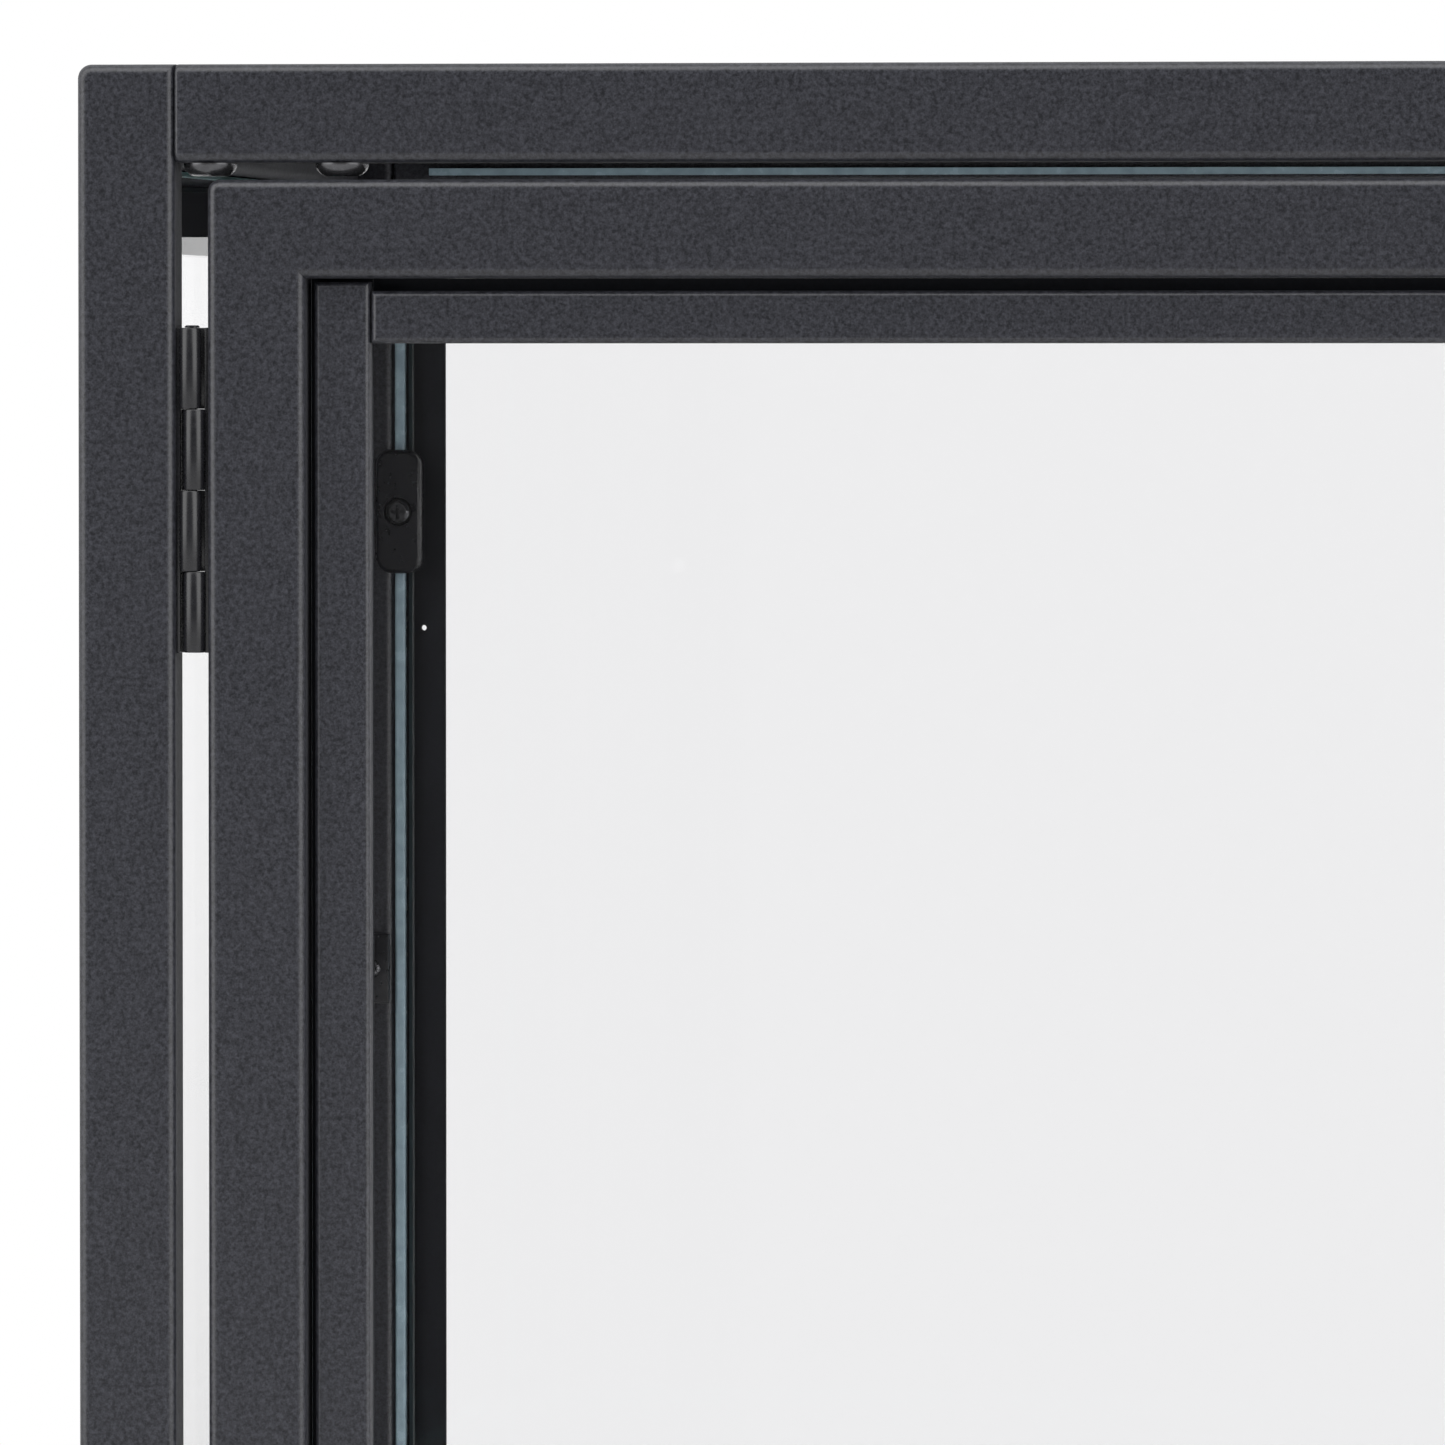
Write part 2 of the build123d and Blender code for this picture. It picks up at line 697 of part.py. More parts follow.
def make_door(side_name, side):
    x_left, x_right = sorted((side * DOOR_OUT, side * DOOR_IN))
    across, tall = x_right - x_left, DOOR_HIGH - DOOR_LOW
    knob_x = side * (DOOR_IN + TUBE / 2)
    knob = [(knob_x, DOOR_MID)]
    left_name, right_name = ("hinge", "knob") if side < 0 else ("knob", "hinge")
    prefix = f"{side_name}_door"

    make_door_tube(
        f"{prefix}_{left_name}_stile",
        (x_left, FRONT, DOOR_LOW),
        (0, 0, 1),
        tall,
        knob if side > 0 else (),
    )
    make_door_tube(
        f"{prefix}_{right_name}_stile",
        (x_right, FRONT, DOOR_HIGH),
        (0, 0, -1),
        tall,
        knob if side < 0 else (),
    )
    make_door_tube(f"{prefix}_top_rail", (x_left, FRONT, DOOR_HIGH), (1, 0, 0), across)
    make_door_tube(f"{prefix}_bottom_rail", (x_right, FRONT, DOOR_LOW), (-1, 0, 0), across)

    # the flat bars behind the pane
    in_left, in_right = x_left + TUBE, x_right - TUBE
    in_low, in_high = DOOR_LOW + TUBE, DOOR_HIGH - TUBE
    screws = bead_screw_places(x_left, x_right)
    with BuildPart() as bars:
        for x0, x1 in ((in_left, in_left + DOOR_FLAT_W), (in_right - DOOR_FLAT_W, in_right)):
            block(x0, x1, DOOR_FLAT, INNER_FRONT, in_low, in_high)
        bar_left = in_left + DOOR_FLAT_W + BAR_GAP
        bar_right = in_right - DOOR_FLAT_W - BAR_GAP
        for z0, z1 in ((in_low, in_low + DOOR_FLAT_W), (in_high - DOOR_FLAT_W, in_high)):
            block(bar_left, bar_right, DOOR_FLAT, INNER_FRONT, z0, z1)
        for x, z in screws:
            through(x, z, DOOR_FLAT, INNER_FRONT, SCREW_HOLE_R, mode=Mode.SUBTRACT)
    save(bars, f"{prefix}_pane_bars")

    # the pane
    edge = DOOR_FLAT_W - PANE_COVER
    make_pane(
        f"{prefix}_glass",
        (in_left + edge, in_right - edge, DOOR_PANE, DOOR_FLAT, in_low + edge, in_high - edge),
    )

    # the glazing beads, L-shaped in section
    bead_back = BEAD_FRONT + BEAD_LEG
    up_low, up_high = in_low + BEAD_END, in_high - BEAD_END
    with BuildPart() as beads:
        for x_edge, inward in ((in_left + BEAD_OFF, 1), (in_right - BEAD_OFF, -1)):
            block(x_edge, x_edge + inward * BEAD_W, BEAD_FRONT, bead_back, up_low, up_high)
            block(x_edge, x_edge + inward * BEAD_FOOT, bead_back, DOOR_FLAT, up_low, up_high)
        cross_left = in_left + BEAD_OFF + BEAD_W + BAR_GAP
        cross_right = in_right - BEAD_OFF - BEAD_W - BAR_GAP
        for z_edge, inward in ((in_low + CROSS_OFF, 1), (in_high - CROSS_OFF, -1)):
            block(cross_left, cross_right, BEAD_FRONT, bead_back, z_edge, z_edge + inward * CROSS_W)
            block(cross_left, cross_right, bead_back, DOOR_FLAT, z_edge, z_edge + inward * BEAD_FOOT)
        fronts = beads.faces().filter_by(Axis.Y).group_by(Axis.Y)[0]
        fillet(fronts.edges(), BEAD_R)
        for x, z in screws:
            through(x, z, bead_back - 2, DOOR_FLAT, SCREW_HOLE_R, mode=Mode.SUBTRACT)
    save(beads, f"{prefix}_glazing_beads")

    # the knob, turned
    with BuildPart() as knob_part:
        with BuildSketch(Plane(origin=(knob_x, FRONT, DOOR_MID), x_dir=(1, 0, 0), z_dir=(0, 0, 1))):
            with BuildLine():
                Polyline((0, 0), (6, 0), (6, -1.5), (4, -2.5))
                ThreePointArc((4, -2.5), (3.6, -6), (4.5, -9))
                ThreePointArc((4.5, -9), (8.4, -11), (9.5, -15))
                ThreePointArc((9.5, -15), (7.2, -19.4), (2.5, -KNOB_OUT))
                Polyline((2.5, -KNOB_OUT), (0, -KNOB_OUT), (0, 0))
            make_face()
        revolve(axis=Axis((knob_x, FRONT, DOOR_MID), (0, 1, 0)))
        through(knob_x, DOOR_MID, FRONT - KNOB_TAP, FRONT, KNOB_HOLE_R, mode=Mode.SUBTRACT)
    save(knob_part, f"{prefix}_knob")

    # the screws, all driven from behind: the knob's one and the beads' ones
    with BuildPart() as door_screws:
        through(knob_x, DOOR_MID, FRONT - KNOB_TAP + 1, INNER_FRONT, KNOB_SCREW_R)
        pan_head(knob_x, DOOR_MID, INNER_FRONT, 1, 4.0, 1.6)
        for x, z in screws:
            through(x, z, bead_back - 1, INNER_FRONT, SCREW_R)
            pan_head(x, z, INNER_FRONT, 1, SCREW_HEAD_R - 0.4, SCREW_HEAD_H)
    save(door_screws, f"{prefix}_screws")

    with BuildPart() as strike:
        x0, x1 = side * (DOOR_IN + 2), side * (DOOR_IN + 20)
        block(x0, x1, INNER_FRONT, INNER_FRONT + STRIKE_T, CATCH_LOW + 1, CATCH_LOW + 16)
    save(strike, f"{prefix}_strike_plate")


for side_name, side in SIDES.items():
    make_door(side_name, side)
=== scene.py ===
"""Glass-door display cabinet: materials, fine detail, light and camera around the CAD frame."""

import json
import math

import bmesh
import bpy
from mathutils import Matrix, Vector


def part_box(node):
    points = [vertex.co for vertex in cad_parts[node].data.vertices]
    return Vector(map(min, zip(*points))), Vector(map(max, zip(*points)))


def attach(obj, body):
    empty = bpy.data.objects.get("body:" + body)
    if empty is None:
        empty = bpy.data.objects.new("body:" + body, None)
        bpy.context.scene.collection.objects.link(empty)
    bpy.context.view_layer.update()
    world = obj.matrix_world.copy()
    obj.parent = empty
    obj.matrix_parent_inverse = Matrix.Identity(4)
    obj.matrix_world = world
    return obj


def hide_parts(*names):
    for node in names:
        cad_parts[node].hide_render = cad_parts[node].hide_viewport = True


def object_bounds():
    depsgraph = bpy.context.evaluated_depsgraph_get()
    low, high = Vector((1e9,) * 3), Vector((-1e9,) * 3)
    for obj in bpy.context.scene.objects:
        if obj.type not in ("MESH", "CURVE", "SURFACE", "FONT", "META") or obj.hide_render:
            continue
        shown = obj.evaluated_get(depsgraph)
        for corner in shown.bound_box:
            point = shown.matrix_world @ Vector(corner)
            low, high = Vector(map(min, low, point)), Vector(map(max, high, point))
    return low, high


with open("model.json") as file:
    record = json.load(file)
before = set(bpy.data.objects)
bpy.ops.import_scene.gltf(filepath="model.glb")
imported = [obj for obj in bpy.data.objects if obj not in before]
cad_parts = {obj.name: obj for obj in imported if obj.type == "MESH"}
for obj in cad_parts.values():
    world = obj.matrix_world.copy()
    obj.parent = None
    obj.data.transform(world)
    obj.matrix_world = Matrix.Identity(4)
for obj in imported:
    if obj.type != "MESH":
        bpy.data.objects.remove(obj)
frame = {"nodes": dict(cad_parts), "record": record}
cad_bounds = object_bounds()
nodes = frame["nodes"]
MM = 0.001

# ---- places read from the frame ----
low, high = cad_bounds
post_low, post_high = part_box("front_left_post")
FRONT = post_low.y
TOP = high.z
LEFT = post_low.x

# ---- camera: just below the cabinet's top, in front of its middle ----
CAMERA_IN = 0.4947
CAMERA_BACK = 2.988
CAMERA_DROP = 0.0758
AIM_IN = 0.1650
AIM_DOWN = 0.1666
LENS = 296.42
SENSOR = 36.0


def make_camera():
    data = bpy.data.cameras.new("camera")
    camera = bpy.data.objects.new("camera", data)
    bpy.context.scene.collection.objects.link(camera)
    camera.location = (LEFT + CAMERA_IN, FRONT - CAMERA_BACK, TOP - CAMERA_DROP)
    aim = Vector((LEFT + AIM_IN, FRONT, TOP - AIM_DOWN))
    camera.rotation_mode = "QUATERNION"
    camera.rotation_quaternion = (aim - camera.location).to_track_quat("-Z", "Y")
    data.sensor_width = SENSOR
    data.lens = LENS
    data.clip_start = 0.05
    data.clip_end = 200
    bpy.context.scene.camera = camera


# ---- small tools for node materials ----
def new_material(name):
    material = bpy.data.materials.new(name)
    material.use_nodes = True
    tree = material.node_tree
    tree.nodes.clear()
    return material, tree


def node(tree, kind, **values):
    made = tree.nodes.new(kind)
    for key, value in values.items():
        if hasattr(made, key):
            setattr(made, key, value)
        else:
            made.inputs[key.replace("_", " ")].default_value = value
    return made


def link(tree, source, target):
    tree.links.new(source, target)


def ramp(tree, source, stops):
    made = tree.nodes.new("ShaderNodeValToRGB")
    elements = made.color_ramp.elements
    for element, (place, colour) in zip((elements[0], elements[1]), (stops[0], stops[-1])):
        element.position = place
        element.color = (*colour, 1)
    for place, colour in stops[1:-1]:
        elements.new(place).color = (*colour, 1)
    link(tree, source, made.inputs["Fac"])
    return made.outputs["Color"]


def finish_surface(tree, shader):
    output = tree.nodes.new("ShaderNodeOutputMaterial")
    link(tree, shader, output.inputs["Surface"])


# ---- materials ----
def powder_coat(name, dark, light, roughness, shine=0.5):
    """Fine-textured powder coat: a grainy skin with small darker and lighter flecks."""
    material, tree = new_material(name)
    where = node(tree, "ShaderNodeTexCoord").outputs["Object"]
    fleck = node(tree, "ShaderNodeTexNoise", Scale=820.0, Detail=4.0, Roughness=0.7)
    grain = node(tree, "ShaderNodeTexNoise", Scale=2300.0, Detail=1.0)
    for made in (fleck, grain):
        link(tree, where, made.inputs["Vector"])
    part = node(tree, "ShaderNodeMath", operation="MULTIPLY_ADD")
    part.inputs[1].default_value = 0.35
    link(tree, grain.outputs["Fac"], part.inputs[0])
    link(tree, fleck.outputs["Fac"], part.inputs[2])
    colour = ramp(tree, part.outputs[0], [(0.52, dark), (0.86, light)])
    shader = node(tree, "ShaderNodeBsdfPrincipled", Specular_IOR_Level=shine)
    link(tree, colour, shader.inputs["Base Color"])
    rough = node(tree, "ShaderNodeMapRange", To_Min=roughness - 0.05, To_Max=roughness + 0.08)
    link(tree, grain.outputs["Fac"], rough.inputs["Value"])
    grazing = node(tree, "ShaderNodeLayerWeight", Blend=0.5)
    steep = node(tree, "ShaderNodeMath", operation="POWER")
    steep.inputs[1].default_value = 4.0
    link(tree, grazing.outputs["Facing"], steep.inputs[0])
    duller = node(tree, "ShaderNodeMath", operation="MULTIPLY_ADD")
    duller.inputs[1].default_value = 0.8
    link(tree, steep.outputs[0], duller.inputs[0])
    link(tree, rough.outputs["Result"], duller.inputs[2])
    link(tree, duller.outputs[0], shader.inputs["Roughness"])
    bump = node(tree, "ShaderNodeBump", Strength=0.35, Distance=0.00008)
    link(tree, part.outputs[0], bump.inputs["Height"])
    link(tree, bump.outputs["Normal"], shader.inputs["Normal"])
    finish_surface(tree, shader.outputs[0])
    return material


def plain(name, colour, roughness, metallic=0.0, scale=600.0, variation=0.12, bump_mm=0.02):
    """A metal, plastic or rubber with a little unevenness in colour, gloss and height."""
    material, tree = new_material(name)
    where = node(tree, "ShaderNodeTexCoord").outputs["Object"]
    noise = node(tree, "ShaderNodeTexNoise", Scale=scale, Detail=4.0)
    link(tree, where, noise.inputs["Vector"])
    darker = tuple(c * (1 - variation) for c in colour)
    lighter = tuple(min(1.0, c * (1 + variation)) for c in colour)
    shader = node(tree, "ShaderNodeBsdfPrincipled", Metallic=metallic)
    shade = ramp(tree, noise.outputs["Fac"], [(0.35, darker), (0.65, lighter)])
    link(tree, shade, shader.inputs["Base Color"])
    rough = node(tree, "ShaderNodeMapRange", To_Min=roughness - 0.05, To_Max=roughness + 0.07)
    link(tree, noise.outputs["Fac"], rough.inputs["Value"])
    link(tree, rough.outputs["Result"], shader.inputs["Roughness"])
    bump = node(tree, "ShaderNodeBump", Strength=0.3, Distance=bump_mm * MM)
    link(tree, noise.outputs["Fac"], bump.inputs["Height"])
    link(tree, bump.outputs["Normal"], shader.inputs["Normal"])
    finish_surface(tree, shader.outputs[0])
    return material


def clear_pane(name, axis, tint, edge_colour):
    """Float glass: clear through its two broad faces, which lie across axis, and blue-green at its edges."""
    material, tree = new_material(name)
    clear = node(tree, "ShaderNodeBsdfTransparent", Color=(*tint, 1))
    shine = node(tree, "ShaderNodeBsdfGlossy", Roughness=0.01, Color=(1, 1, 1, 1))
    tilt = node(tree, "ShaderNodeLayerWeight", Blend=0.5)
    steep = node(tree, "ShaderNodeMath", operation="POWER")
    steep.inputs[1].default_value = 5.0
    link(tree, tilt.outputs["Facing"], steep.inputs[0])
    share = node(tree, "ShaderNodeMath", operation="MULTIPLY_ADD")
    share.inputs[1].default_value = 0.9
    share.inputs[2].default_value = 0.04
    link(tree, steep.outputs[0], share.inputs[0])
    face = node(tree, "ShaderNodeMixShader")
    link(tree, share.outputs[0], face.inputs["Fac"])
    link(tree, clear.outputs[0], face.inputs[1])
    link(tree, shine.outputs[0], face.inputs[2])
    edge = node(tree, "ShaderNodeBsdfPrincipled", Roughness=0.3)
    where = node(tree, "ShaderNodeTexCoord").outputs["Object"]
    streak = node(tree, "ShaderNodeTexNoise", Scale=60.0, Detail=3.0)
    link(tree, where, streak.inputs["Vector"])
    deep = tuple(c * 0.55 for c in edge_colour)
    shade = ramp(tree, streak.outputs["Fac"], [(0.3, deep), (0.7, edge_colour)])
    link(tree, shade, edge.inputs["Base Color"])
    normal = node(tree, "ShaderNodeTexCoord").outputs["Normal"]
    split = node(tree, "ShaderNodeSeparateXYZ")
    link(tree, normal, split.inputs[0])
    size = node(tree, "ShaderNodeMath", operation="ABSOLUTE")
    link(tree, split.outputs[axis], size.inputs[0])
    is_edge = node(tree, "ShaderNodeMath", operation="LESS_THAN")
    is_edge.inputs[1].default_value = 0.9
    link(tree, size.outputs[0], is_edge.inputs[0])
    both = node(tree, "ShaderNodeMixShader")
    link(tree, is_edge.outputs[0], both.inputs["Fac"])
    link(tree, face.outputs[0], both.inputs[1])
    link(tree, edge.outputs[0], both.inputs[2])
    finish_surface(tree, both.outputs[0])
    return material


PANE_TINT = (0.996, 0.9955, 0.998)
EDGE_BLUE_GREEN = (0.12, 0.30, 0.30)
EDGE_DARK = (0.008, 0.018, 0.021)
coat = powder_coat("anthracite_coat", (0.0078, 0.0082, 0.0108), (0.037, 0.038, 0.0465), 0.31)
bar_coat = powder_coat("pane_bar_coat", (0.002, 0.003, 0.006), (0.005, 0.0065, 0.011), 0.55, 0.25)
hinge_black = plain("hinge_black", (0.010, 0.010, 0.012), 0.26, scale=500)
clip_black = plain("clip_black", (0.006, 0.006, 0.008), 0.28)
screw_black = plain("screw_black", (0.09, 0.09, 0.095), 0.24, metallic=0.8)
zinc = plain("zinc", (0.62, 0.62, 0.64), 0.32, metallic=1.0)
pad_clear = plain("pad_clear", (0.75, 0.77, 0.78), 0.3)
# the seal's pale blue-grey is about twice its own colour: a painted highlight that lights the seal strip,
# which sits in shade behind the post and the pane
seal_painted_highlight = plain("seal_painted_highlight", (0.28, 0.38, 0.43), 0.25, scale=200, bump_mm=0.01)
foot_black = plain("foot_black", (0.03, 0.03, 0.032), 0.4)
pane_y = clear_pane("pane_front_back", 1, PANE_TINT, EDGE_DARK)
pane_x = clear_pane("pane_side", 0, PANE_TINT, EDGE_BLUE_GREEN)
pane_z = clear_pane("pane_shelf", 2, PANE_TINT, EDGE_BLUE_GREEN)

SLOT_MATERIALS = {
    "powder_coat": coat,
    "knob_coat": coat,
    "pane_bar_black": bar_coat,
    "clear_seal": seal_painted_highlight,
    "hinge_black": hinge_black,
    "black_plastic": clip_black,
    "black_screws": screw_black,
    "zinc_screws": zinc,
    "zinc_plate": zinc,
    "soft_pads": pad_clear,
    "foot_steel": foot_black,
}


def pane_material(name):
    if name.endswith("_shelf"):
        return pane_z
    return pane_x if name in ("left_glass", "right_glass") else pane_y


def dress_cad_nodes():
    for part in frame["record"]["subparts"]:
        name, slot = part["node"], part["material_slot"]
        material = pane_material(name) if slot == "clear_glass" else SLOT_MATERIALS[slot]
        mesh = nodes[name].data
        mesh.materials.clear()
        mesh.materials.append(material)


# ---- floor, light ----
FLOOR_R = 6.0


def make_floor():
    mesh = bpy.data.meshes.new("floor")
    shape = bmesh.new()
    bmesh.ops.create_circle(shape, cap_ends=True, segments=96, radius=FLOOR_R)
    shape.to_mesh(mesh)
    shape.free()
    floor = bpy.data.objects.new("floor", mesh)
    bpy.context.scene.collection.objects.link(floor)
    floor.location.z = low.z
    material, tree = new_material("floor_white")
    shader = node(tree, "ShaderNodeBsdfPrincipled", Roughness=0.8)
    shader.inputs["Base Color"].default_value = (0.6, 0.6, 0.6, 1)
    finish_surface(tree, shader.outputs[0])
    mesh.materials.append(material)


SEEN = 1.0
BRIGHTEST = 3.0
# the light from each direction along Y, from straight in front (-1) towards the back
AROUND = [(-1.0, 0.05), (-0.86, 0.12), (-0.76, BRIGHTEST), (-0.26, BRIGHTEST), (-0.1, 1.0), (0.1, 1.0)]


def make_world(seen, around, top):
    """White where it's seen. As light it is dim straight in front, bright around that, white behind."""
    world = bpy.data.worlds.new("studio")
    bpy.context.scene.world = world
    world.use_nodes = True
    tree = world.node_tree
    tree.nodes.clear()
    direction = node(tree, "ShaderNodeTexCoord").outputs["Generated"]
    split = node(tree, "ShaderNodeSeparateXYZ")
    link(tree, direction, split.inputs[0])
    place = node(tree, "ShaderNodeMapRange", From_Min=-1.0, From_Max=1.0)
    link(tree, split.outputs[1], place.inputs["Value"])
    stops = [((y + 1) / 2, (level / top,) * 3) for y, level in around]
    bright = node(tree, "ShaderNodeBackground", Strength=seen)
    bright.inputs["Color"].default_value = (1, 1, 1, 1)
    soft = node(tree, "ShaderNodeBackground")
    link(tree, ramp(tree, place.outputs["Result"], stops), soft.inputs["Color"])
    from_below = node(tree, "ShaderNodeMapRange", From_Min=-0.35, From_Max=0.0, To_Min=0.1 * top, To_Max=top)
    link(tree, split.outputs[2], from_below.inputs["Value"])
    link(tree, from_below.outputs["Result"], soft.inputs["Strength"])
    path = node(tree, "ShaderNodeLightPath")
    mix = node(tree, "ShaderNodeMixShader")
    link(tree, path.outputs["Is Camera Ray"], mix.inputs["Fac"])
    link(tree, soft.outputs[0], mix.inputs[1])
    link(tree, bright.outputs[0], mix.inputs[2])
    output = tree.nodes.new("ShaderNodeOutputWorld")
    link(tree, mix.outputs[0], output.inputs["Surface"])


# ---- small tools for detailed pieces, all in millimetres ----
def turned(origin, across, along):
    """A placing matrix: its X runs across, its Z runs along."""
    z = Vector(along).normalized()
    x = Vector(across).normalized()
    spin = Matrix((x, z.cross(x), z)).transposed().to_4x4()
    return Matrix.Translation(Vector(origin)) @ spin


def circle(radius, z, count=32, centre=(0, 0)):
    steps = [2 * math.pi * i / count for i in range(count)]
    return [(centre[0] + radius * math.cos(a), centre[1] + radius * math.sin(a), z) for a in steps]


def cross(reach, half, z):
    corners = [(reach, half), (half, half), (half, reach), (-half, reach), (-half, half), (-reach, half)]
    return [(x, y, z) for x, y in corners] + [(-x, -y, z) for x, y in corners]


def rounded(wide, tall, radius, z, bow=0.0):
    """A rounded rectangle whose long sides bow out by bow."""
    points = []
    for sx, sy, start in ((1, 1, 0), (-1, 1, 90), (-1, -1, 180), (1, -1, 270)):
        for step in range(7):
            a = math.radians(start + 15 * step)
            x = sx * (wide / 2 - radius) + radius * math.cos(a)
            y = sy * (tall / 2 - radius) + radius * math.sin(a)
            points.append((x + math.copysign(bow, x) * (1 - (2 * y / tall) ** 2), y, z))
    return points


def add_loop(shape, matrix, outline):
    return [shape.verts.new(matrix @ Vector(p)) for p in outline]


def wall(shape, a, b):
    for i, corner in enumerate(a):
        j = (i + 1) % len(a)
        shape.faces.new((corner, a[j], b[j], b[i]))


def stack(shape, matrix, outlines, low_cap=True, high_cap=True, ring=False):
    """A solid through outlines of equal count; a ring joins its last outline to its first."""
    loops = [add_loop(shape, matrix, outline) for outline in outlines]
    for a, b in zip(loops, loops[1:]):
        wall(shape, a, b)
    if ring:
        wall(shape, loops[-1], loops[0])
        return loops
    if low_cap:
        shape.faces.new(loops[0][::-1])
    if high_cap:
        shape.faces.new(loops[-1])
    return loops


def lathe(shape, matrix, profile, high_cap=True, count=32):
    return stack(shape, matrix, [circle(r, z, count) for r, z in profile], high_cap=high_cap)


def sink(shape, matrix, rim, inside, depth, shrink=0.8):
    """Closes the flat face within rim, with a recess of the inside outline in it."""
    mouth = add_loop(shape, matrix, inside)
    edges = []
    for loop in (rim, mouth):
        for i, corner in enumerate(loop):
            pair = (corner, loop[(i + 1) % len(loop)])
            edges.append(shape.edges.get(pair) or shape.edges.new(pair))
    bmesh.ops.triangle_fill(shape, use_beauty=True, use_dissolve=False, edges=edges)
    floor = add_loop(shape, matrix, [(x * shrink, y * shrink, z - depth) for x, y, z in inside])
    wall(shape, mouth, floor)
    shape.faces.new(floor)


def slab(shape, corner_a, corner_b, bevel):
    """A box between two corners with rounded edges."""
    lows = [min(a, b) for a, b in zip(corner_a, corner_b)]
    highs = [max(a, b) for a, b in zip(corner_a, corner_b)]
    made = bmesh.ops.create_cube(shape, size=1.0)["verts"]
    for vert in made:
        vert.co = Vector([h if c > 0 else l for c, l, h in zip(vert.co, lows, highs)])
    edges = list(dict.fromkeys(edge for vert in made for edge in vert.link_edges))
    bmesh.ops.bevel(shape, geom=edges, offset=bevel, segments=2, affect="EDGES", profile=0.5)


def threads(radius, root, z0, z1, pitch):
    """The profile of a threaded rod, from z0 up to z1."""
    turns = int((z1 - z0) / pitch)
    profile = []
    for turn in range(turns):
        z = z0 + turn * pitch
        profile += [(root, z), (radius, z + 0.35 * pitch), (radius, z + 0.55 * pitch)]
    return profile + [(root, z1)]


def screw(shape, face, out, radius, height, shank, length, socket="cross"):
    """A pan-head screw; face is where its head sits and out the way that the head points."""
    across = (1, 0, 0)
    matrix = turned(face, across, out)
    profile = threads(shank, shank * 0.82, -length, -0.4, 0.9) + [
        (shank, -0.01),
        (radius, 0),
        (radius, 0.25 * height),
        (radius * 0.93, 0.58 * height),
        (radius * 0.78, 0.86 * height),
        (radius * 0.64, height),
    ]
    rim = lathe(shape, matrix, profile, high_cap=False)[-1]
    if socket == "cross":
        inside = cross(radius * 0.54, radius * 0.13, height)
    else:
        inside = circle(radius * 0.40, height, 6)
    sink(shape, matrix, rim, inside, height * 0.6)


SHARP_ANGLE = 32


def piece(name, shape, material, slot, body, *replaced):
    mesh = bpy.data.meshes.new(name)
    bmesh.ops.scale(shape, vec=(MM, MM, MM), verts=shape.verts)
    bmesh.ops.recalc_face_normals(shape, faces=shape.faces)
    shape.to_mesh(mesh)
    shape.free()
    for polygon in mesh.polygons:
        polygon.use_smooth = True
    mesh.set_sharp_from_angle(angle=math.radians(SHARP_ANGLE))
    mesh.materials.append(material)
    made = bpy.data.objects.new(name, mesh)
    bpy.context.scene.collection.objects.link(made)
    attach(made, body)
    if replaced:
        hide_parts(*replaced)


# ---- places in the cabinet, in millimetres, read from the frame ----
def in_mm(metres):
    return round(metres / MM, 1)


POST_IN = -in_mm(post_high.x)
FRONT_Y = in_mm(post_low.y)
INNER_FRONT = in_mm(post_high.y)
INNER_BACK = in_mm(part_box("rear_left_post")[0].y)
RAIL_LOW = in_mm(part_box("front_top_rail")[0].z)
RAIL_TOP = in_mm(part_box("front_bottom_rail")[1].z)
DOOR_LOW = in_mm(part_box("left_door_bottom_rail")[0].z)
DOOR_HIGH = in_mm(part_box("left_door_top_rail")[1].z)
DOOR_MID = (DOOR_LOW + DOOR_HIGH) / 2
DOOR_OUT = -in_mm(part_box("left_door_hinge_stile")[0].x)
DOOR_IN = -in_mm(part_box("left_door_knob_stile")[1].x)
HALF_TUBE = 12.5  # half the tube's broad side
HALF_THIN = (INNER_FRONT - FRONT_Y) / 2

# ---- sizes and places of the small fittings ----
BOLT_RUNS = (8.2, 42.0)  # from the post
HINGE_X = 470.85
HINGE_Y = FRONT_Y + 3.0
HINGE_LEN = 82.6
HINGE_LOWS = (850.6, 81.8)
KNUCKLE_R = 2.8
CLIP_X = 472.9
CLIP_ZS = (881.5, DOOR_MID, 133.5)
CLIP_DEEP = 5.0
CLIP_SEAT = 1.6  # depth of the screw's seat
SIDE_CLIP_ZS = (750.0, 250.0)
SIDE_SCREW_X = 481.0
SIDE_CLIP_X = (476, 486, 489)  # inner end, inner and outer face of the arm along the pane
SIDE_CLIP_T = 3
SIDE_CLIP_REACH = 12
SIDE_CLIP_HALF = 10  # half its height
STILE_SCREW_IN = 29.4  # from the door's side to the screws in its stiles
RAIL_SCREW_IN = 30.7  # from the door's top or bottom to the screws in its rails
SIDES = {"left": -1, "right": 1}


def rail_bolts():
    shape = bmesh.new()
    for side in SIDES.values():
        for run in BOLT_RUNS:
            for face, out in ((RAIL_LOW, -1), (RAIL_TOP, 1)):
                seat = (side * (POST_IN - run), FRONT_Y + HALF_THIN, face)
                screw(shape, seat, (0, 0, out), 6.8, 3.3, 1.93, 12.0, "hexagon")
    piece("rail_bolts_fine", shape, screw_black, "black_screws", "cabinet", "rail_bolts")


def side_clip_feet():
    return [
        (side, face, inward, z)
        for side in SIDES.values()
        for face, inward in ((INNER_FRONT, 1), (INNER_BACK, -1))
        for z in SIDE_CLIP_ZS
    ]


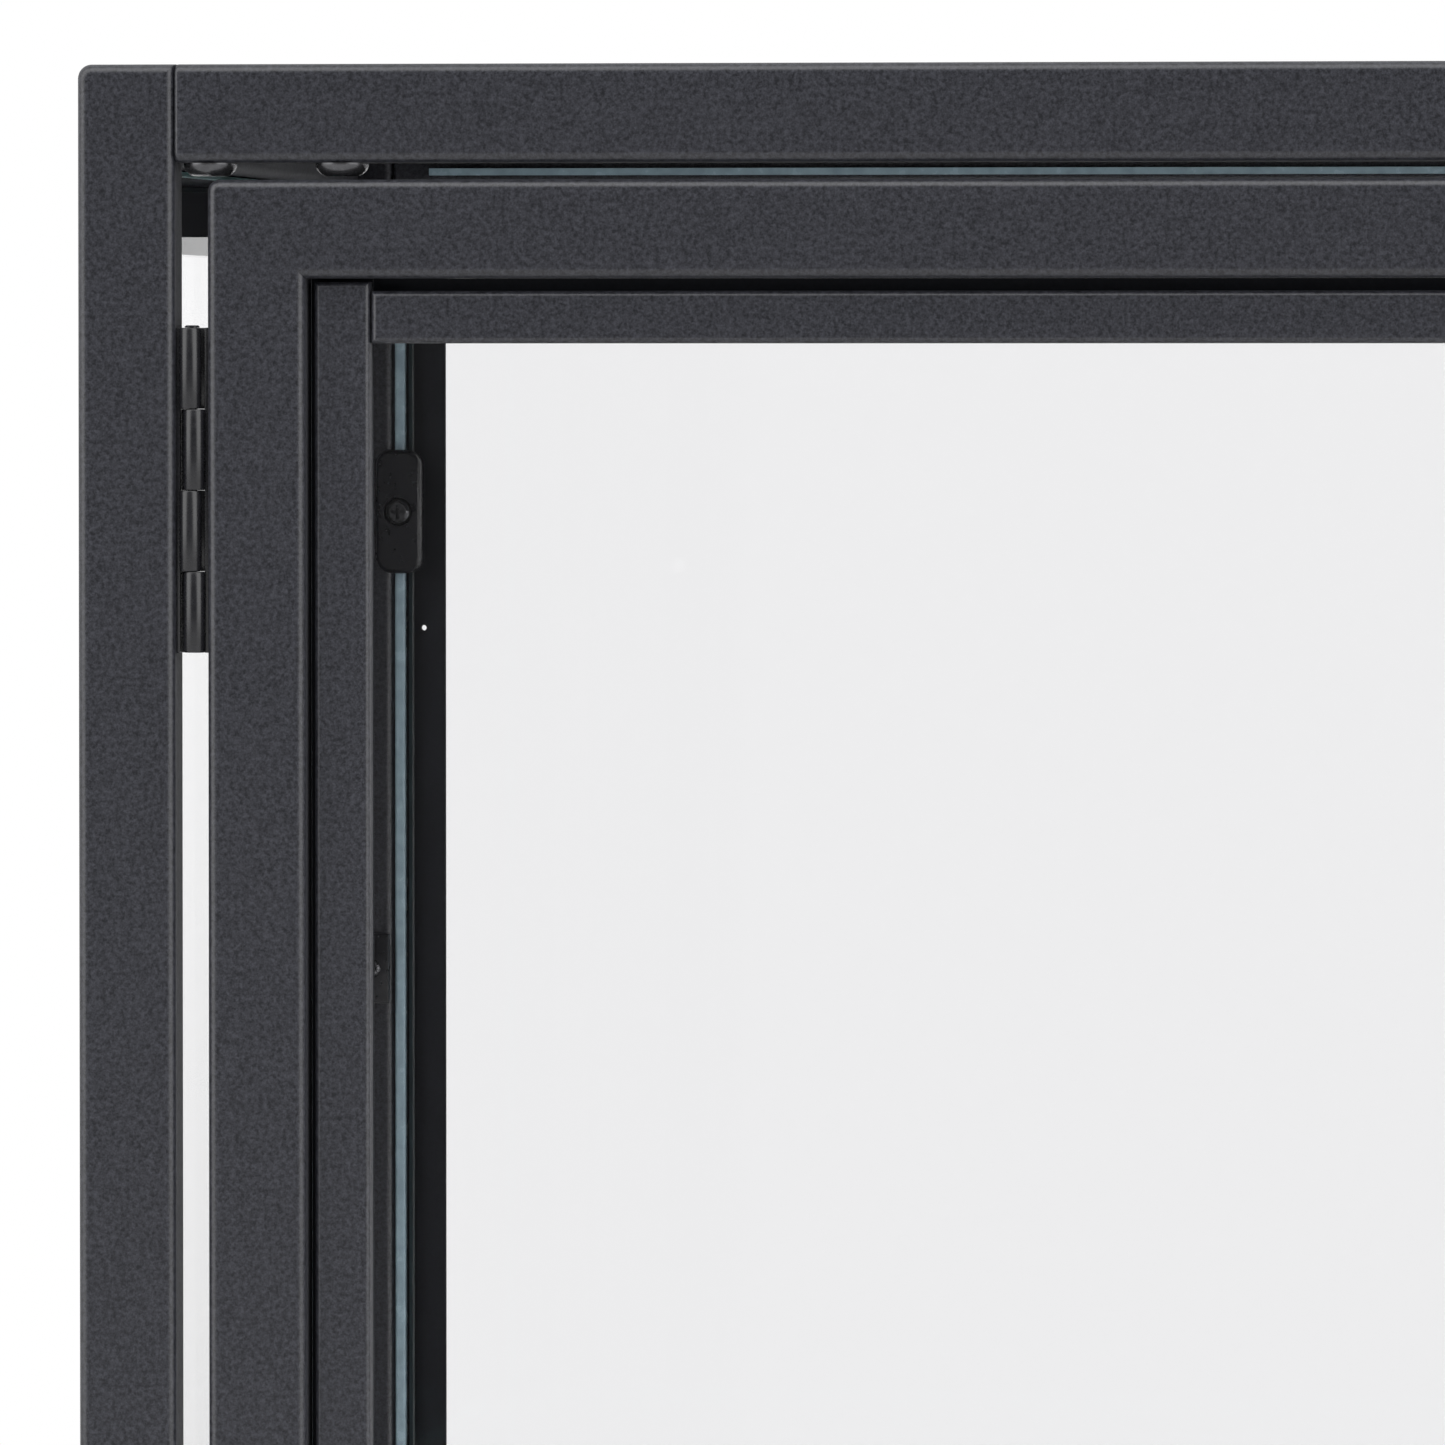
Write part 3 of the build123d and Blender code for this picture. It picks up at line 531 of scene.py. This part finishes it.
def pane_clips():
    """Moulded clips: bowed ones with a sunk seat on the back pane, angles on the side panes."""
    shape = bmesh.new()
    for side in SIDES.values():
        for z in CLIP_ZS:
            matrix = turned((side * CLIP_X, INNER_BACK, z), (1, 0, 0), (0, -1, 0))
            outlines = [
                rounded(12.4, 35.2, 4.0, 0.0, 0.7),
                rounded(12.6, 35.4, 4.0, 3.6, 0.7),
                rounded(11.8, 34.6, 3.8, 4.5, 0.7),
                rounded(10.6, 33.2, 3.4, CLIP_DEEP, 0.7),
            ]
            rim = stack(shape, matrix, outlines, high_cap=False)[-1]
            sink(shape, matrix, rim, circle(4.2, CLIP_DEEP, 28), CLIP_SEAT, 0.97)
    for side, face, inward, z in side_clip_feet():
        end, arm, out = (side * x for x in SIDE_CLIP_X)
        z0, z1 = z - SIDE_CLIP_HALF, z + SIDE_CLIP_HALF
        slab(shape, (out, face, z0), (end, face + inward * SIDE_CLIP_T, z1), 0.5)
        slab(shape, (out, face, z0), (arm, face + inward * SIDE_CLIP_REACH, z1), 0.5)
    piece("pane_clips_moulded", shape, clip_black, "black_plastic", "cabinet", "pane_clips")


def clip_screws():
    shape = bmesh.new()
    for side in SIDES.values():
        for z in CLIP_ZS:
            seat = (side * CLIP_X, INNER_BACK - CLIP_DEEP + CLIP_SEAT, z)
            screw(shape, seat, (0, -1, 0), 3.8, 2.6, 1.4, 11.0)
    for side, face, inward, z in side_clip_feet():
        seat = (side * SIDE_SCREW_X, face + inward * SIDE_CLIP_T, z)
        screw(shape, seat, (0, inward, 0), 2.7, 1.2, 1.4, 4.4)
    piece("clip_screws_fine", shape, screw_black, "black_screws", "cabinet", "clip_screws")


def knuckles(shape, side, centre_x, first):
    """Rolled knuckles with rounded rims, every second one from the top."""
    pitch = HINGE_LEN / 4
    pin = (side * HINGE_X, HINGE_Y)
    middle = (side * centre_x, HINGE_Y)
    for bottom in HINGE_LOWS:
        for number in range(first, 4, 2):
            z1 = bottom + HINGE_LEN - number * pitch - 0.04
            z0 = z1 - pitch + 0.08
            outlines = [
                circle(KNUCKLE_R - 0.45, z0, 40, middle),
                circle(KNUCKLE_R - 0.12, z0 + 0.13, 40, middle),
                circle(KNUCKLE_R, z0 + 0.45, 40, middle),
                circle(KNUCKLE_R, z1 - 0.45, 40, middle),
                circle(KNUCKLE_R - 0.12, z1 - 0.13, 40, middle),
                circle(KNUCKLE_R - 0.45, z1, 40, middle),
                circle(1.3, z1, 40, pin),
                circle(1.3, z0, 40, pin),
            ]
            stack(shape, Matrix.Identity(4), outlines, ring=True)
            yield z0, z1


def hinge_leaves(name, side, plate_x, centre_x, first, body):
    shape = bmesh.new()
    inward = 1 if plate_x < HINGE_X else -1
    for z0, z1 in knuckles(shape, side, centre_x, first):
        back = HINGE_Y + KNUCKLE_R
        slab(shape, (side * plate_x, back - 1, z0), (side * (HINGE_X + inward * 3.05), back, z1), 0.12)
    for bottom in HINGE_LOWS:
        far = (side * (plate_x + inward), INNER_FRONT, bottom + HINGE_LEN)
        slab(shape, (side * plate_x, HINGE_Y, bottom), far, 0.15)
    piece(f"{name}_rolled", shape, hinge_black, "hinge_black", body, name)


def hinge_pins():
    shape = bmesh.new()
    for side in SIDES.values():
        for bottom in HINGE_LOWS:
            top = bottom + HINGE_LEN
            matrix = Matrix.Translation(Vector((side * HINGE_X, HINGE_Y, 0)))
            profile = [
                (0.9, bottom),
                (1.25, bottom + 0.4),
                (1.25, top),
                (1.9, top + 0.02),
                (1.9, top + 0.3),
                (1.5, top + 0.6),
            ]
            lathe(shape, matrix, profile, count=24)
    piece("hinge_pins_turned", shape, hinge_black, "hinge_black", "cabinet", "hinge_pins")


def door_fittings(side_name, side):
    body = f"{side_name}_door"
    knob_x = side * (DOOR_IN + HALF_TUBE)
    knob = bmesh.new()
    profile = [
        (6.0, 0.0), (6.0, 1.3), (5.6, 1.7), (4.0, 2.5), (3.7, 4.0), (3.6, 6.0), (4.0, 8.0),
        (4.5, 9.0), (6.4, 9.7), (8.2, 10.9), (9.1, 12.6), (9.5, 14.6), (9.2, 14.9), (9.2, 15.3),
        (9.5, 15.6), (9.2, 17.0), (8.2, 18.8), (6.6, 20.2), (4.6, 21.3), (2.5, 21.9), (1.0, 22.0),
    ]
    lathe(knob, turned((knob_x, FRONT_Y, DOOR_MID), (1, 0, 0), (0, -1, 0)), profile, count=48)
    piece(f"{body}_knob_turned", knob, coat, "knob_coat", body, f"{body}_knob")

    shape = bmesh.new()
    x_left, x_right = sorted((side * DOOR_OUT, side * DOOR_IN))
    across, tall = x_right - x_left, DOOR_HIGH - DOOR_LOW
    screw(shape, (knob_x, INNER_FRONT, DOOR_MID), (0, 1, 0), 4.0, 1.6, 2.03, 24.0)
    stiles = (x_left + STILE_SCREW_IN, x_right - STILE_SCREW_IN)
    places = [(x, DOOR_LOW + share * tall) for share in (0.12, 0.5, 0.88) for x in stiles]
    for share in (0.3, 0.7):
        x = x_left + share * across
        places += [(x, DOOR_LOW + RAIL_SCREW_IN), (x, DOOR_HIGH - RAIL_SCREW_IN)]
    for x, z in places:
        screw(shape, (x, INNER_FRONT, z), (0, 1, 0), 2.3, 1.2, 1.43, 7.0)
    piece(f"{body}_screws_fine", shape, zinc, "zinc_screws", body, f"{body}_screws")


def foot(name, x, y):
    """A levelling foot: rounded base, hexagon and threaded stem."""
    shape = bmesh.new()
    matrix = Matrix.Translation(Vector((x, y, 0)))
    profile = [(6.6, 0.0), (7.2, 0.3), (7.4, 1.0), (7.4, 5.0), (7.1, 5.7), (6.4, 6.0)]
    lathe(shape, matrix, profile, count=48)
    outlines = [circle(6.1, 6.0, 6), circle(6.5, 6.5, 6), circle(6.5, 10.5, 6), circle(6.1, 11.0, 6)]
    stack(shape, matrix, outlines)
    lathe(shape, matrix, threads(3.95, 3.45, 6.0, 48.0, 1.25))
    piece(f"{name}_threaded", shape, foot_black, "foot_steel", name, name)


rail_bolts()
pane_clips()
clip_screws()
hinge_pins()
for side_name, side in SIDES.items():
    hinge_leaves(f"{side_name}_frame_hinge_leaves", side, POST_IN, HINGE_X + 0.5, 0, "cabinet")
    hinge_leaves(f"{side_name}_door_hinge_leaves", side, DOOR_OUT, HINGE_X - 0.5, 1, f"{side_name}_door")
    door_fittings(side_name, side)
    for end_name, post_y in (("front", FRONT_Y), ("rear", INNER_BACK)):
        foot(f"{end_name}_{side_name}_foot", side * (POST_IN + HALF_TUBE), post_y + HALF_THIN)

make_camera()
dress_cad_nodes()
make_floor()
make_world(SEEN, AROUND, BRIGHTEST)
bpy.context.scene.view_settings.view_transform = "Standard"
